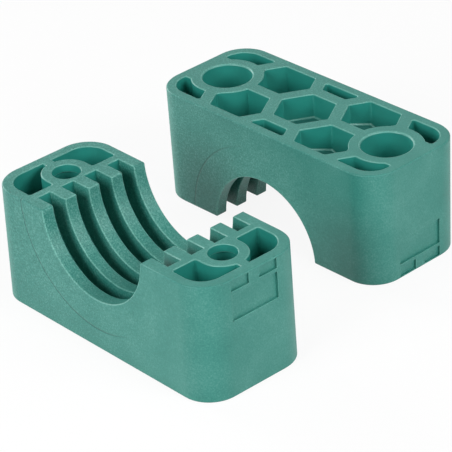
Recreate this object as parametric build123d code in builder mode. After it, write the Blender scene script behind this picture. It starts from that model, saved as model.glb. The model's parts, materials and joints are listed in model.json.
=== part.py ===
from build123d import *

import os
from math import cos, radians, sin, tan

# Tube clamp of two equal moulded halves, lying beside each other before they go round a tube:
# the first on its back with the grooved seat up, the second on its mating face, honeycomb up.
# Millimetres, +Z up. The origin is on the table, below the middle of the pair.

# ---- Driving dimensions --------------------------------------------------------------------------

# Outside form of one half. The back face carries the honeycomb, the mating face meets the other half.
clamp_length = 71.6  # over the back face
clamp_width = 30.0  # over the back face, along the tube
half_height = 28.6  # back face to mating face
corner_radius = 7.6  # upright outer corners
draft_angle = 0.46  # the outer walls lean in towards the mating face, degrees
rim_chamfer = 0.35

# Tube seat: ribs that grip the tube, with deep grooves between them
tube_radius = 16.3
mating_gap = 1.0  # stays open between the two mating faces once the clamp is bolted up
groove_count = 4
rib_width = 3.15
groove_depth = 5.45
seat_end_wall = 2.0  # between the ends of the grooves and the pockets of the mating face
cell_floor_wall = 3.0  # curved shell between the bottoms of the grooves and of the honeycomb cells
middle_cell_floor_wall = 1.25  # the middle cell goes further down, to a flat bottom

# Bolt holes
bolt_spacing = 52.0
bolt_hole_radius = 3.3
bolt_land = 2.0  # length of the close hole, at the mating face
bolt_clearance_radius = 3.8
counterbore_radius = 5.95
bolt_ring_wall = 2.75  # round the counterbore, on the back face
bolt_boss_wall = 2.45  # round the close hole, on the mating face

# Honeycomb of hexagonal cells that lighten the back
cell_across_flats = 12.9
cell_wall = 3.1
cell_corner_rounding = 0.5
side_wall = 2.5
back_end_wall = 2.35
end_slot_start = 6.6  # from the long axis to the tip of each corner slot
slot_rounding = 0.5

# Pockets round the bolt boss in the mating face
mating_end_wall = 2.65
pocket_depth = 13.0
pocket_web = 2.5  # joins the boss to the end wall
pocket_corner_rounding = 0.6
floor_thickness = 2.4  # between these pockets and the slots and counterbores of the back

# Recessed fields in the end wall, left bare: a large one and two small ones between it and the rim
field_depth = 0.55
field_span = 13.0
large_field_top = 3.75  # below the mating face
large_field_height = 6.4
small_field_top = 0.45
small_field_height = 2.5
small_field_gap = 2.9

# How the second half lies beside the first
second_half_shift = (-7.57, 56.15)
second_half_turn = 1.13  # degrees about +Z

# ---- Sizes that follow ---------------------------------------------------------------------------

wall_lean = half_height * tan(radians(draft_angle))
mating_length = clamp_length - 2 * wall_lean
mating_width = clamp_width - 2 * wall_lean

seat_axis_height = half_height + mating_gap / 2
seat_axis = Axis((0, 0, seat_axis_height), (0, 1, 0))
groove_radius = tube_radius + groove_depth
seat_half_length = groove_radius + seat_end_wall
shell_radius = groove_radius + cell_floor_wall
middle_cell_depth = seat_axis_height - groove_radius - middle_cell_floor_wall
groove_width = (mating_width - (groove_count + 1) * rib_width) / groove_count
groove_pitch = groove_width + rib_width

bolt_ring_radius = counterbore_radius + bolt_ring_wall
bolt_boss_radius = bolt_hole_radius + bolt_boss_wall
back_hollow_depth = half_height - pocket_depth - floor_thickness

cell_pitch = cell_across_flats + cell_wall
cell_apothem = cell_across_flats / 2
inner_width = clamp_width - 2 * side_wall
inner_corner_radius = corner_radius - side_wall

mating_plane = Plane.XY.offset(half_height)

# ---- The moulded half, back face down, mating face up --------------------------------------------

with BuildPart() as moulding:
    # Block with leaning walls and rounded upright corners
    with BuildSketch():
        Rectangle(clamp_length, clamp_width)
    extrude(amount=half_height, taper=draft_angle)
    fillet(moulding.edges().filter_by(Axis.X, reverse=True).filter_by(Axis.Y, reverse=True), corner_radius)

    # Honeycomb: a middle cell and four round it, cut off by the side walls and the bolt rings
    with BuildSketch() as cells:
        RegularPolygon(cell_apothem, 6, major_radius=False)
        with GridLocations(2 * cell_pitch * cos(radians(30)), cell_pitch, 2, 2):
            RegularPolygon(cell_apothem, 6, major_radius=False)
        Rectangle(clamp_length, inner_width, mode=Mode.INTERSECT)
        fillet(cells.vertices(), cell_corner_rounding)
        with GridLocations(bolt_spacing, 0, 2, 1):
            Circle(bolt_ring_radius, mode=Mode.SUBTRACT)
    extrude(amount=half_height, mode=Mode.SUBTRACT)

    # The two cells above and below the middle one are mostly wall, which leaves a short slot of each
    with BuildSketch() as side_slots:
        with GridLocations(0, 2 * cell_pitch, 1, 2):
            RegularPolygon(cell_apothem, 6, major_radius=False)
        Rectangle(clamp_length, inner_width, mode=Mode.INTERSECT)
        fillet(side_slots.vertices(), slot_rounding)
    extrude(amount=half_height, mode=Mode.SUBTRACT)

    # Curved shell under the tube seat, which closes the honeycomb from the mating side
    with BuildSketch(Plane.XZ):
        with Locations((0, seat_axis_height)):
            Circle(shell_radius)
        with Locations((0, half_height)):
            Rectangle(clamp_length, clamp_length, align=(Align.CENTER, Align.MAX), mode=Mode.INTERSECT)
    extrude(amount=(clamp_width - side_wall) / 2, both=True)

    # Flat bottom of the middle cell, let into the crown of the shell
    with BuildSketch() as middle_cell:
        RegularPolygon(cell_apothem, 6, major_radius=False)
        fillet(middle_cell.vertices(), cell_corner_rounding)
    extrude(amount=middle_cell_depth, mode=Mode.SUBTRACT)

    # Tube seat and its annular grooves, one profile turned about the tube's axis
    with BuildSketch(Plane.YZ):
        with Locations((0, seat_axis_height)):
            Rectangle(2 * clamp_width, tube_radius, align=(Align.CENTER, Align.MAX))
            with GridLocations(groove_pitch, 0, groove_count, 1):
                Rectangle(groove_width, groove_radius, align=(Align.CENTER, Align.MAX))
    revolve(axis=seat_axis, mode=Mode.SUBTRACT)

    # Outer rims of both faces, broken by a narrow bevel
    outer_edges = moulding.faces().sort_by(Axis.Z)[0].outer_wire().edges()
    for mating_face in moulding.faces().filter_by(Axis.Z).group_by(Axis.Z)[-1]:
        outer_edges += mating_face.outer_wire().edges()
    end_edges = outer_edges.filter_by(lambda edge: abs(edge.center().X) > seat_half_length)
    side_edges = outer_edges.filter_by(lambda edge: abs(edge.center().Y) > mating_width / 2 - side_wall)
    chamfer(set(end_edges + side_edges), rim_chamfer)

    # Corner slots of the back: between the outer wall, the bolt ring and the edge of the honeycomb.
    # The step in and out again rounds their corners.
    with BuildSketch():
        RectangleRounded(clamp_length - 2 * back_end_wall, inner_width, inner_corner_radius)
        RegularPolygon(2 * cell_pitch - cell_apothem, 6, major_radius=False, mode=Mode.SUBTRACT)
        Rectangle(clamp_length, 2 * end_slot_start, mode=Mode.SUBTRACT)
        with GridLocations(bolt_spacing, 0, 2, 1):
            Circle(bolt_ring_radius, mode=Mode.SUBTRACT)
        offset(amount=-slot_rounding, mode=Mode.REPLACE)
        offset(amount=slot_rounding, kind=Kind.ARC, mode=Mode.REPLACE)
    extrude(amount=back_hollow_depth, mode=Mode.SUBTRACT)

    # Pockets of the mating face, on both sides of each bolt boss, with their corners at the seat rounded
    with BuildSketch(mating_plane):
        RectangleRounded(
            mating_length - 2 * mating_end_wall,
            mating_width - 2 * side_wall,
            inner_corner_radius,
        )
        Rectangle(2 * seat_half_length, mating_width, mode=Mode.SUBTRACT)
        Rectangle(bolt_spacing, 2 * bolt_boss_radius, mode=Mode.SUBTRACT)
        offset(amount=-pocket_corner_rounding, mode=Mode.REPLACE)
        offset(amount=pocket_corner_rounding, kind=Kind.ARC, mode=Mode.REPLACE)
        Rectangle(mating_length, pocket_web, mode=Mode.SUBTRACT)
        with GridLocations(bolt_spacing, 0, 2, 1):
            Circle(bolt_boss_radius, mode=Mode.SUBTRACT)
    extrude(amount=-pocket_depth, mode=Mode.SUBTRACT)

    # Bolt holes: counterbored from the back, opened up below the short close hole
    with Locations(-Plane.XY):
        with GridLocations(bolt_spacing, 0, 2, 1):
            clearance_depth = half_height - bolt_land
            CounterBoreHole(bolt_clearance_radius, counterbore_radius, back_hollow_depth, clearance_depth)
            Hole(bolt_hole_radius)

    # Bare recessed fields in one end wall, cut square to the leaning wall
    end_wall_plane = Plane(
        origin=(mating_length / 2, 0, half_height),
        x_dir=(0, 1, 0),
        z_dir=(cos(radians(draft_angle)), 0, sin(radians(draft_angle))),
    )
    with BuildSketch(end_wall_plane):
        with Locations((0, -large_field_top)):
            Rectangle(field_span, large_field_height, align=(Align.CENTER, Align.MAX))
        small_field_span = (field_span - small_field_gap) / 2
        with Locations((0, -small_field_top)):
            with GridLocations(small_field_span + small_field_gap, 0, 2, 1):
                Rectangle(small_field_span, small_field_height, align=(Align.CENTER, Align.MAX))
    extrude(amount=-field_depth, mode=Mode.SUBTRACT)

# ---- Placing the pair ----------------------------------------------------------------------------

# The reach of each half, from its middle to its outermost point along X and along Y
turn = radians(second_half_turn)
straight_length = clamp_length / 2 - corner_radius
straight_width = clamp_width / 2 - corner_radius
second_reach_x = straight_length * cos(turn) + straight_width * sin(turn) + corner_radius
second_reach_y = straight_length * sin(turn) + straight_width * cos(turn) + corner_radius

second_x, second_y = second_half_shift
front_x = max(clamp_length / 2, second_x + second_reach_x)
back_x = min(-clamp_length / 2, second_x - second_reach_x)
middle_x = (front_x + back_x) / 2
near_y = min(-clamp_width / 2, second_y - second_reach_y)
far_y = max(clamp_width / 2, second_y + second_reach_y)
middle_y = (near_y + far_y) / 2

first_half_plane = Plane(origin=(-middle_x, -middle_y, 0))
second_half_plane = Plane(
    origin=(second_x - middle_x, second_y - middle_y, half_height),
    x_dir=(cos(turn), sin(turn), 0),
    z_dir=(0, 0, -1),
)

with BuildPart(first_half_plane) as half_grooves_up:
    add(moulding.part)

with BuildPart(second_half_plane) as half_honeycomb_up:
    add(moulding.part)

os.makedirs("parts", exist_ok=True)
half_grooves_up.part.label = "half_grooves_up"
export_step(half_grooves_up.part, "parts/half_grooves_up.step")
half_honeycomb_up.part.label = "half_honeycomb_up"
export_step(half_honeycomb_up.part, "parts/half_honeycomb_up.step")
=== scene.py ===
import json
from math import atan2, cos, degrees, radians, sin

import bmesh
import bpy
from mathutils import Matrix, Vector


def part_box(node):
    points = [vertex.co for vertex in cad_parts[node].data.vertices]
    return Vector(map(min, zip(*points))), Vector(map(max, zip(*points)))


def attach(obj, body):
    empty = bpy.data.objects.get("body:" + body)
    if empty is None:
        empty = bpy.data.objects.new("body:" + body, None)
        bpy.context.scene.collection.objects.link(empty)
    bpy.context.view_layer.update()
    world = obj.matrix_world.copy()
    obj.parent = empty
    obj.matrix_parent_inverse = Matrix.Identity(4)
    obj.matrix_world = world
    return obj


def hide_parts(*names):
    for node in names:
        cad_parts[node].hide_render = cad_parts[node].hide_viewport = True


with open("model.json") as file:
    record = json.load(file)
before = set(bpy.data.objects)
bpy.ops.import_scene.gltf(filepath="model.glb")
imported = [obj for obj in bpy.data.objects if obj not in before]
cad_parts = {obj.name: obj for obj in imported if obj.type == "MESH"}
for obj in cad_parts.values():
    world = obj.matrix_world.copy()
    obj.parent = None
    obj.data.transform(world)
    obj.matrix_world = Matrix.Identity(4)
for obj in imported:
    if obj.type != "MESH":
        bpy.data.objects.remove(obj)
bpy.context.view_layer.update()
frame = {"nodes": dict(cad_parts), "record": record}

# Tube clamp, both halves: the first on its back with the seat up, the second with its honeycomb up.
# Metres and degrees, in the frame of the CAD model. Each half also has a frame of its own, with its
# back face at 0, +Z to its mating face and +X to the end with the recessed fields.

# ---- Sizes of a half -------------------------------------------------------------------------------

# From the frame
mounts = {mount["name"]: mount for mount in frame["record"]["mounts"]}
seat = mounts["lower_tube_seat"]
bolt_holes = mounts["lower_bolt_holes"]["dims"]
turned_axis = mounts["upper_tube_seat"]["axis"]
low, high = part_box("half_grooves_up")
clamp_length, clamp_width, half_height = Vector(high) - Vector(low)
half_turn = degrees(atan2(-turned_axis[0], turned_axis[1]))  # of the second half, on the table
tube_axis_height = seat["pos_m"][2]
tube_radius = seat["dims"]["r_mm"] / 1000
bolt_spacing = bolt_holes["spacing_x_mm"] / 1000
bolt_hole_radius = bolt_holes["hole_r_mm"] / 1000

# As the CAD model has them
CORNER_RADIUS = 0.0076
COUNTERBORE_RADIUS = 0.00595
CELL_SHELL_RADIUS = 0.02475  # the cells end on this radius about the tube, the middle one on a flat floor
MIDDLE_CELL_FLOOR = 0.0061
MIDDLE_CELL_REACH = 0.0075  # just past its corners

# A box round the recessed fields of the end wall; top and bottom are below the mating face
FIELDS_START = 0.034
FIELDS_REACH = 0.0068
FIELDS_TOP = 0.0002
FIELDS_BOTTOM = 0.0106

# Rounding of the edges
RIM_SOFTNESS = 0.00024  # ribs, honeycomb and pockets
COUNTERBORE_BREAK = 0.00042
HOLE_BREAK = 0.00018
FIELD_BREAK = 0.00006
CELL_FOOT = 0.00036  # fillet where the walls of a honeycomb cell meet its floor

# Angles between the two faces of an edge
FLAT_EDGE = 0.4  # up to this the faces become one
OUTSIDE_EDGE = 60
INSIDE_EDGE = 40
SHARP_EDGE = 50

# How close counts
MERGE_DISTANCE = 0.0000005
ON_WALL = 0.00003
ON_SHELL = 0.00004
NEAR_OUTER_WALL = 0.001
NEAR_FLAT_FACE = 0.0005
NEAR_RIB = 0.0003


# ---- Mesh ------------------------------------------------------------------------------------------

def half_frame(node, turn, flipped):
    """Turns the CAD model's frame into the half's own one."""
    low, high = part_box(node)
    own = Matrix.Translation((Vector(low) + Vector(high)) / 2) @ Matrix.Rotation(radians(turn), 4, "Z")
    if flipped:
        own = own @ Matrix.Rotation(radians(180), 4, "X")
    return (own @ Matrix.Translation((0, 0, -half_height / 2))).inverted()


def is_outside_edge(edge):
    return len(edge.link_faces) == 2 and edge.calc_face_angle_signed(0.0) > radians(OUTSIDE_EDGE)


def is_inside_edge(edge):
    return len(edge.link_faces) == 2 and edge.calc_face_angle_signed(0.0) < -radians(INSIDE_EDGE)


def on_round_hole(point, radius):
    """On the wall of a hole of that radius about either bolt axis."""
    return abs(Vector((abs(point.x) - bolt_spacing / 2, point.y)).length - radius) < ON_WALL


def on_counterbore(point):
    return on_round_hole(point, COUNTERBORE_RADIUS)


def on_bolt_hole(point):
    return on_round_hole(point, bolt_hole_radius)


def on_recessed_fields(point):
    at_the_end = point.x > FIELDS_START and abs(point.y) < FIELDS_REACH
    return at_the_end and FIELDS_TOP < half_height - point.z < FIELDS_BOTTOM


def off_recessed_fields(point):
    return not on_recessed_fields(point)


def from_tube_axis(point):
    return Vector((point.x, point.z - tube_axis_height)).length


def on_cell_floor(point):
    if Vector((point.x, point.y)).length < MIDDLE_CELL_REACH:
        return abs(point.z - MIDDLE_CELL_FLOOR) < ON_WALL
    return abs(from_tube_axis(point) - CELL_SHELL_RADIUS) < ON_SHELL


def on_grained_skin(point):
    """On the outer walls, the flat faces or the ribs; every other wall was formed by a polished core."""
    beyond_x = max(abs(point.x) - (clamp_length / 2 - CORNER_RADIUS), 0.0)
    beyond_y = max(abs(point.y) - (clamp_width / 2 - CORNER_RADIUS), 0.0)
    on_outer_wall = Vector((beyond_x, beyond_y)).length > CORNER_RADIUS - NEAR_OUTER_WALL
    on_flat_face = min(point.z, half_height - point.z) < NEAR_FLAT_FACE
    on_rib = from_tube_axis(point) < tube_radius + NEAR_RIB
    return on_outer_wall or on_flat_face or on_rib


def rounded(bm, edges, width):
    """Rounds edges and gives the faces that this makes."""
    made = bmesh.ops.bevel(
        bm, geom=edges, offset=width, offset_type="OFFSET", segments=2, profile=0.5,
        affect="EDGES", clamp_overlap=False, material=-1,
    )
    return made["faces"]


def softened(node, name, to_half):
    """A merged copy of a half whose edges are rounded as a mould leaves them."""
    def lies(part, place):
        return all(place(to_half @ vert.co) for vert in part.verts)

    bm = bmesh.new()
    bm.from_mesh(frame["nodes"][node].data)
    bmesh.ops.remove_doubles(bm, verts=bm.verts, dist=MERGE_DISTANCE)
    bmesh.ops.dissolve_limit(bm, angle_limit=radians(FLAT_EDGE), verts=bm.verts, edges=bm.edges)
    # Faces flagged here get a painted highlight in the material
    highlit_edge = bm.faces.layers.float.new("highlit_edge")
    polished = bm.faces.layers.float.new("polished")
    shaded_cell_floor = bm.faces.layers.float.new("shaded_cell_floor")
    for face in bm.faces:
        face[polished] = 0.0 if on_grained_skin(to_half @ face.calc_center_median()) else 1.0
        # Cell floors are flagged for painted shade
        face[shaded_cell_floor] = 1.0 if lies(face, on_cell_floor) else 0.0

    roundings = (
        (FIELD_BREAK, on_recessed_fields),
        (COUNTERBORE_BREAK, on_counterbore),
        (HOLE_BREAK, on_bolt_hole),
        (RIM_SOFTNESS, off_recessed_fields),
    )
    for width, place in roundings:
        rims = [edge for edge in bm.edges if is_outside_edge(edge) and lies(edge, place)]
        # Every rounded face gets a painted highlight
        for face in rounded(bm, rims, width):
            face[highlit_edge] = 1.0
    feet = [edge for edge in bm.edges if is_inside_edge(edge) and lies(edge, on_cell_floor)]
    # The fillets at the cell feet get a painted highlight instead of the painted floor shade
    for face in rounded(bm, feet, CELL_FOOT):
        face[highlit_edge] = 1.0
        face[shaded_cell_floor] = 0.0

    for face in bm.faces:
        face.smooth = True
    for edge in bm.edges:
        edge.smooth = len(edge.link_faces) == 2 and edge.calc_face_angle(0.0) < radians(SHARP_EDGE)
    mesh = bpy.data.meshes.new(name)
    bm.to_mesh(mesh)
    bm.free()
    half = bpy.data.objects.new(name, mesh)
    bpy.context.collection.objects.link(half)
    flats = half.modifiers.new("flats_stay_flat", "WEIGHTED_NORMAL")
    flats.keep_sharp = True
    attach(half, "root")
    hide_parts(node)
    return half


first_frame = half_frame("half_grooves_up", 0, flipped=False)
second_frame = half_frame("half_honeycomb_up", half_turn, flipped=True)
first_half = softened("half_grooves_up", "clamp_half_seat_up", first_frame)
second_half = softened("half_honeycomb_up", "clamp_half_back_up", second_frame)


# ---- Node trees ------------------------------------------------------------------------------------

def put(tree, kind, x, y, **settings):
    node = tree.nodes.new(kind)
    node.location = (x, y)
    for name, value in settings.items():
        setattr(node, name, value)
    return node


def give(tree, value, socket):
    """Links an input where the value is a socket; anything else becomes the input's default."""
    if isinstance(value, bpy.types.NodeSocket):
        tree.links.new(value, socket)
    else:
        socket.default_value = value


def feed(tree, node, **values):
    for name, value in values.items():
        give(tree, value, node.inputs[name.replace("_", " ")])


def maths(tree, operation, x, y, *values):
    node = put(tree, "ShaderNodeMath", x, y, operation=operation)
    for value, socket in zip(values, node.inputs):
        give(tree, value, socket)
    return node.outputs[0]


def centred(tree, x, y, texture, contrast):
    """A texture's value, brought round 0 and strengthened."""
    return maths(tree, "MULTIPLY_ADD", x, y, texture, contrast, -contrast / 2)


def ranged(tree, x, y, value, from_min, from_max, to_min, to_max):
    """A value mapped from one range to another, smooth at both ends."""
    node = put(tree, "ShaderNodeMapRange", x, y, interpolation_type="SMOOTHSTEP")
    feed(tree, node, Value=value, From_Min=from_min, From_Max=from_max, To_Min=to_min, To_Max=to_max)
    return node.outputs["Result"]


def noise(tree, x, y, vector, scale, detail, roughness):
    node = put(tree, "ShaderNodeTexNoise", x, y)
    feed(tree, node, Vector=vector, Scale=scale, Detail=detail, Roughness=roughness)
    return node.outputs["Fac"]


def coated(tree, x, y, share, under, over):
    """One colour laid over another; a Mix node takes its colours in inputs 6 and 7 and gives output 2."""
    node = put(tree, "ShaderNodeMix", x, y, data_type="RGBA")
    give(tree, share, node.inputs[0])
    give(tree, under, node.inputs[6])
    give(tree, over, node.inputs[7])
    return node.outputs[2]


def face_mask(tree, x, y, layer):
    return put(tree, "ShaderNodeAttribute", x, y, attribute_name=layer).outputs["Fac"]


def new_group(name, inputs, outputs):
    group = bpy.data.node_groups.new(name, "ShaderNodeTree")
    for label, kind in inputs:
        group.interface.new_socket(label, in_out="INPUT", socket_type=kind)
    for label, kind in outputs:
        group.interface.new_socket(label, in_out="OUTPUT", socket_type=kind)
    start = put(group, "NodeGroupInput", -900, 0)
    end = put(group, "NodeGroupOutput", 900, 0)
    return group, start.outputs, end.inputs


# ---- Materials -------------------------------------------------------------------------------------

# Linear colours
GREEN = (0.028, 0.205, 0.168, 1)
SHADE_DARK = (0.006, 0.143, 0.115, 1)
SHADE_PALE = (0.094, 0.297, 0.254, 1)
# Partly the smoother tone of walls from polished cores, partly painted light that brightens the cavities
CORED_TONE_AND_CAVITY_LIGHT = (0.018, 0.242, 0.201, 1)
# Painted shade for the floors of the honeycomb cells
PAINTED_FLOOR_SHADE = (0.010, 0.090, 0.078, 1)
# Painted highlight on the rounded edges and the cell feet
PAINTED_EDGE_HIGHLIGHT = (0.15, 0.40, 0.34, 1)
WITNESS_DARK = (0.004, 0.070, 0.058, 1)

PLASTIC_IOR = 1.5
SMOOTHEST = 0.40
ROUGHEST = 0.56

# Mould grain: scale, detail and roughness of its three textures, and how much each shows
FINE_GRAIN = (2600.0, 3.0, 0.65)
PORES = (1800.0, 2.0, 0.6)
CLOUDS = (95.0, 3.0, 0.55)
FINE_CONTRAST = 3.0
CLOUD_CONTRAST = 0.7
SPECK_LEVELS = (0.56, 0.72)
SPECK_LIGHT = 0.4
GRAIN_DEPTH = 0.00005

# Where along a half the grain is at full strength, where it is weakest, and how weak
GRAIN_FULL_AT = -0.020
GRAIN_WEAK_AT = 0.034
WEAK_GRAIN = 0.35

# Walls from polished cores
CORED_SHARE = 0.85  # of their colour in the mix, which is partly their own smoother tone and partly painted light brightening the cavities, and of the grain that the polish takes away
# share of the painted shade on the cell floors
PAINTED_FLOOR_SHADE_SHARE = 0.6
CORED_GLOSS = 0.10  # taken off the roughness

# Painted highlight on the rounded edges and the cell feet: everywhere, and more where the skin is light
EVEN_EDGE_HIGHLIGHT = 0.55
PATCHY_EDGE_HIGHLIGHT = 0.7

# Witness line of the seat, on the long faces; it fades out between two places along the half
WITNESS_RADIUS = 0.0239
WITNESS_WIDTH = 0.0003
WITNESS_SHARE = 0.7
WITNESS_RELIEF = 1.2
LONG_FACE_FROM = 0.0141
LONG_FACE_FULL = 0.0145
FIRST_HALF_FADES = (0.001, 0.013)
SECOND_HALF_FADES = (-0.022, -0.002)


def make_moulded_grain():
    """Spark-eroded mould grain: how light the skin is, and how high it stands."""
    group, given, made = new_group(
        "moulded grain",
        [("Vector", "NodeSocketVector"), ("Amount", "NodeSocketFloat")],
        [("Shade", "NodeSocketFloat"), ("Height", "NodeSocketFloat")],
    )
    fine = noise(group, -650, 200, given["Vector"], *FINE_GRAIN)
    pores = noise(group, -650, 0, given["Vector"], *PORES)
    clouds = noise(group, -650, -200, given["Vector"], *CLOUDS)
    specks = ranged(group, -400, 0, pores, *SPECK_LEVELS, 0.0, 1.0)
    fine_shade = centred(group, -400, 200, fine, FINE_CONTRAST)
    both = maths(group, "MULTIPLY_ADD", -200, 100, specks, SPECK_LIGHT, fine_shade)
    grain = maths(group, "MULTIPLY", 0, 100, both, given["Amount"])
    cloud_shade = centred(group, -200, -200, clouds, CLOUD_CONTRAST)
    shade = maths(group, "ADD", 200, 0, grain, cloud_shade)
    height = maths(group, "MULTIPLY", 200, 200, fine, given["Amount"])
    group.links.new(shade, made["Shade"])
    group.links.new(height, made["Height"])
    return group


def make_seat_witness():
    """Line where the insert that forms the seat met the mould, about the tube's axis."""
    group, given, made = new_group(
        "seat witness line",
        [
            ("Vector", "NodeSocketVector"),
            ("Radius", "NodeSocketFloat"),
            ("Width", "NodeSocketFloat"),
            ("Fades From", "NodeSocketFloat"),
            ("Fades To", "NodeSocketFloat"),
        ],
        [("Line", "NodeSocketFloat")],
    )
    parts = put(group, "ShaderNodeSeparateXYZ", -700, 0)
    feed(group, parts, Vector=given["Vector"])
    along, side, up = parts.outputs
    drop = maths(group, "SUBTRACT", -600, -150, up, tube_axis_height)
    across = put(group, "ShaderNodeCombineXYZ", -500, 0)
    feed(group, across, X=along, Y=drop)
    distance = put(group, "ShaderNodeVectorMath", -300, 0, operation="LENGTH")
    group.links.new(across.outputs[0], distance.inputs[0])
    away = maths(group, "SUBTRACT", -100, 0, distance.outputs["Value"], given["Radius"])
    away = maths(group, "ABSOLUTE", 0, 0, away)
    line = maths(group, "DIVIDE", 100, 0, away, given["Width"])
    line = ranged(group, 200, 0, line, 0.0, 1.0, 1.0, 0.0)
    side = maths(group, "ABSOLUTE", -500, -300, side)
    on_side = ranged(group, -300, -300, side, LONG_FACE_FROM, LONG_FACE_FULL, 0.0, 1.0)
    fading = ranged(group, -300, -500, along, given["Fades From"], given["Fades To"], 1.0, 0.0)
    line = maths(group, "MULTIPLY", 400, 0, line, on_side)
    line = maths(group, "MULTIPLY", 500, 0, line, fading)
    group.links.new(line, made["Line"])
    return group


def plastic(name, own_frame, witness_fades, grain_group, witness_group):
    """Injection-moulded polypropylene, laid out in the half's own frame."""
    material = bpy.data.materials.new(name)
    material.use_nodes = True
    tree = material.node_tree
    shader = tree.nodes["Principled BSDF"]
    shader.location = (700, 0)

    place = put(tree, "ShaderNodeTexCoord", -1300, 0)
    own = put(tree, "ShaderNodeMapping", -1100, 0)
    feed(tree, own, Vector=place.outputs["Object"])
    feed(tree, own, Location=own_frame.to_translation(), Rotation=own_frame.to_euler("XYZ"))
    along = put(tree, "ShaderNodeSeparateXYZ", -900, -200)
    feed(tree, along, Vector=own.outputs[0])
    cored = face_mask(tree, -900, -450, "polished")
    skin = maths(tree, "MULTIPLY_ADD", -700, -450, cored, -CORED_SHARE, 1.0)
    amount = ranged(tree, -700, -200, along.outputs["X"], GRAIN_FULL_AT, GRAIN_WEAK_AT, 1.0, WEAK_GRAIN)
    amount = maths(tree, "MULTIPLY", -600, -300, amount, skin)

    grain = put(tree, "ShaderNodeGroup", -450, 0, node_tree=grain_group)
    feed(tree, grain, Vector=own.outputs[0], Amount=amount)
    shade = grain.outputs["Shade"]
    witness = put(tree, "ShaderNodeGroup", -450, -250, node_tree=witness_group)
    feed(tree, witness, Vector=own.outputs[0], Radius=WITNESS_RADIUS, Width=WITNESS_WIDTH)
    feed(tree, witness, Fades_From=witness_fades[0], Fades_To=witness_fades[1])
    line = witness.outputs["Line"]

    tone = put(tree, "ShaderNodeValToRGB", -200, 150)
    dark, pale = tone.color_ramp.elements
    dark.color = SHADE_DARK
    pale.color = SHADE_PALE
    tone.color_ramp.elements.new(0.5).color = GREEN
    feed(tree, tone, Fac=maths(tree, "ADD", -300, 150, shade, 0.5))

    tone_and_light_share = maths(tree, "MULTIPLY", -150, 350, cored, CORED_SHARE)
    # Cored cavity walls get their own tone mixed with painted light
    colour = coated(tree, 0, 250, tone_and_light_share, tone.outputs["Color"], CORED_TONE_AND_CAVITY_LIGHT)
    # Painted shade darkens the cell floors
    painted_shade_share = maths(tree, "MULTIPLY", 50, 400, face_mask(tree, 0, 450, "shaded_cell_floor"), PAINTED_FLOOR_SHADE_SHARE)
    colour = coated(tree, 100, 250, painted_shade_share, colour, PAINTED_FLOOR_SHADE)
    # Painted highlight laid over the rounded edges and cell feet, patchy with the grain
    patchy_highlight = maths(tree, "MULTIPLY_ADD", -200, -300, shade, PATCHY_EDGE_HIGHLIGHT, EVEN_EDGE_HIGHLIGHT)
    edge_highlight_share = maths(tree, "MULTIPLY", 0, -150, face_mask(tree, -200, -150, "highlit_edge"), patchy_highlight)
    colour = coated(tree, 150, 100, edge_highlight_share, colour, PAINTED_EDGE_HIGHLIGHT)
    line_share = maths(tree, "MULTIPLY", 150, -150, line, WITNESS_SHARE)
    colour = coated(tree, 350, 100, line_share, colour, WITNESS_DARK)

    rough = ranged(tree, 350, -100, shade, -0.5, 0.5, SMOOTHEST, ROUGHEST)
    rough = maths(tree, "MULTIPLY_ADD", 500, -100, cored, -CORED_GLOSS, rough)
    relief = maths(tree, "MULTIPLY_ADD", 150, -350, line, -WITNESS_RELIEF, grain.outputs["Height"])
    bump = put(tree, "ShaderNodeBump", 450, -300)
    feed(tree, bump, Height=relief, Distance=GRAIN_DEPTH, Strength=1.0)
    feed(tree, shader, Base_Color=colour, Roughness=rough, IOR=PLASTIC_IOR, Normal=bump.outputs["Normal"])
    return material


grain_group = make_moulded_grain()
witness_group = make_seat_witness()
for half, own_frame, witness_fades in (
    (first_half, first_frame, FIRST_HALF_FADES),
    (second_half, second_frame, SECOND_HALF_FADES),
):
    name = half.name + "_polypropylene"
    half.data.materials.append(plastic(name, own_frame, witness_fades, grain_group, witness_group))


# ---- Stage -----------------------------------------------------------------------------------------

FLOOR_REACH = 3.0
FLOOR_WHITE = (0.9, 0.9, 0.9, 1)
FLOOR_ROUGHNESS = 0.9
FLOOR_GLOW = 0.9  # how far a plain white takes over where the floor is seen or mirrored
ROOM_WHITE = (1, 1, 1, 1)
ROOM_SEEN = 1.0  # strength of the room where it is seen or mirrored
ROOM_LIGHT = 0.03  # and as a light

LAMP_AIM = Vector((0.0, 0.0, 0.014))
LAMP_DISTANCE = 0.7
LAMP_SIZE = 0.4
LAMPS = (  # azimuth, elevation, watts
    ("overhead_softbox", 0, 88, 0.6),
    ("end_softbox", 98, 33, 3.1),
    ("side_softbox", 128, 27, 0.5),
    ("front_softbox", 4, 28, 3.65),
    ("far_end_softbox", -85, 14, 3.2),
)

CAMERA_AZIMUTH = 49.561
CAMERA_ELEVATION = 30.218
CAMERA_ROLL = -3.77
CAMERA_DISTANCE = 0.5672
CAMERA_TARGET = Vector((0.020465, -0.018972, 0.02717))
CAMERA_CLIP_START = 0.01
SENSOR_WIDTH_MM = 36.0
FOCAL_LENGTH_MM = 210.21


def outwards(azimuth, elevation):
    """Direction away from the clamp; azimuth 0 is its front, 90 the end with the recessed fields."""
    a, e = radians(azimuth), radians(elevation)
    return Vector((sin(a) * cos(e), -cos(a) * cos(e), sin(e)))


def seen_or_mirrored(tree, x, y):
    """1 for rays from the camera or off a gloss, 0 for the rest."""
    rays = put(tree, "ShaderNodeLightPath", x, y).outputs
    return maths(tree, "MAXIMUM", x + 200, y, rays["Is Camera Ray"], rays["Is Glossy Ray"])


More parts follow.
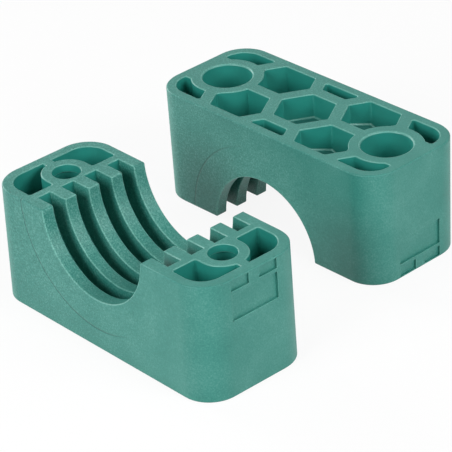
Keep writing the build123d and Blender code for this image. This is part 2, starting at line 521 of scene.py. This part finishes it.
def add_floor():
    bm = bmesh.new()
    bmesh.ops.create_grid(bm, x_segments=1, y_segments=1, size=FLOOR_REACH)
    mesh = bpy.data.meshes.new("floor")
    bm.to_mesh(mesh)
    bm.free()
    floor = bpy.data.objects.new("floor", mesh)
    bpy.context.collection.objects.link(floor)
    material = bpy.data.materials.new("white_table")
    material.use_nodes = True
    tree = material.node_tree
    shader = tree.nodes["Principled BSDF"]
    feed(tree, shader, Base_Color=FLOOR_WHITE, Roughness=FLOOR_ROUGHNESS)
    glow = put(tree, "ShaderNodeEmission", 0, -300)
    seen = maths(tree, "MULTIPLY", 200, 300, seen_or_mirrored(tree, -100, 300), FLOOR_GLOW)
    mix = put(tree, "ShaderNodeMixShader", 400, 0)
    tree.links.new(seen, mix.inputs[0])
    tree.links.new(shader.outputs[0], mix.inputs[1])
    tree.links.new(glow.outputs[0], mix.inputs[2])
    tree.links.new(mix.outputs[0], tree.nodes["Material Output"].inputs["Surface"])
    mesh.materials.append(material)


def add_lamp(name, azimuth, elevation, watts):
    data = bpy.data.lights.new(name, "AREA")
    data.shape = "DISK"
    data.size = LAMP_SIZE
    data.energy = watts
    lamp = bpy.data.objects.new(name, data)
    bpy.context.collection.objects.link(lamp)
    back = outwards(azimuth, elevation)
    lamp.location = LAMP_AIM + back * LAMP_DISTANCE
    lamp.rotation_euler = back.to_track_quat("Z", "Y").to_euler()


def add_room():
    world = bpy.data.worlds.new("studio")
    bpy.context.scene.world = world
    world.use_nodes = True
    tree = world.node_tree
    strength = ranged(tree, -200, 0, seen_or_mirrored(tree, -600, 0), 0.0, 1.0, ROOM_LIGHT, ROOM_SEEN)
    feed(tree, tree.nodes["Background"], Color=ROOM_WHITE, Strength=strength)


def add_camera():
    roll = radians(CAMERA_ROLL)
    back = outwards(CAMERA_AZIMUTH, CAMERA_ELEVATION)
    right = Vector((0, 0, 1)).cross(back).normalized()
    up = back.cross(right)
    turned_right = right * cos(roll) + up * sin(roll)
    turned_up = up * cos(roll) - right * sin(roll)
    data = bpy.data.cameras.new("camera")
    data.sensor_width = SENSOR_WIDTH_MM
    data.lens = FOCAL_LENGTH_MM
    data.clip_start = CAMERA_CLIP_START
    camera = bpy.data.objects.new("camera", data)
    bpy.context.collection.objects.link(camera)
    rotation = Matrix((turned_right, turned_up, back)).transposed()
    camera.matrix_world = Matrix.Translation(CAMERA_TARGET + back * CAMERA_DISTANCE) @ rotation.to_4x4()
    bpy.context.scene.camera = camera


add_floor()
for lamp in LAMPS:
    add_lamp(*lamp)
add_room()
add_camera()
bpy.context.scene.view_settings.view_transform = "Standard"
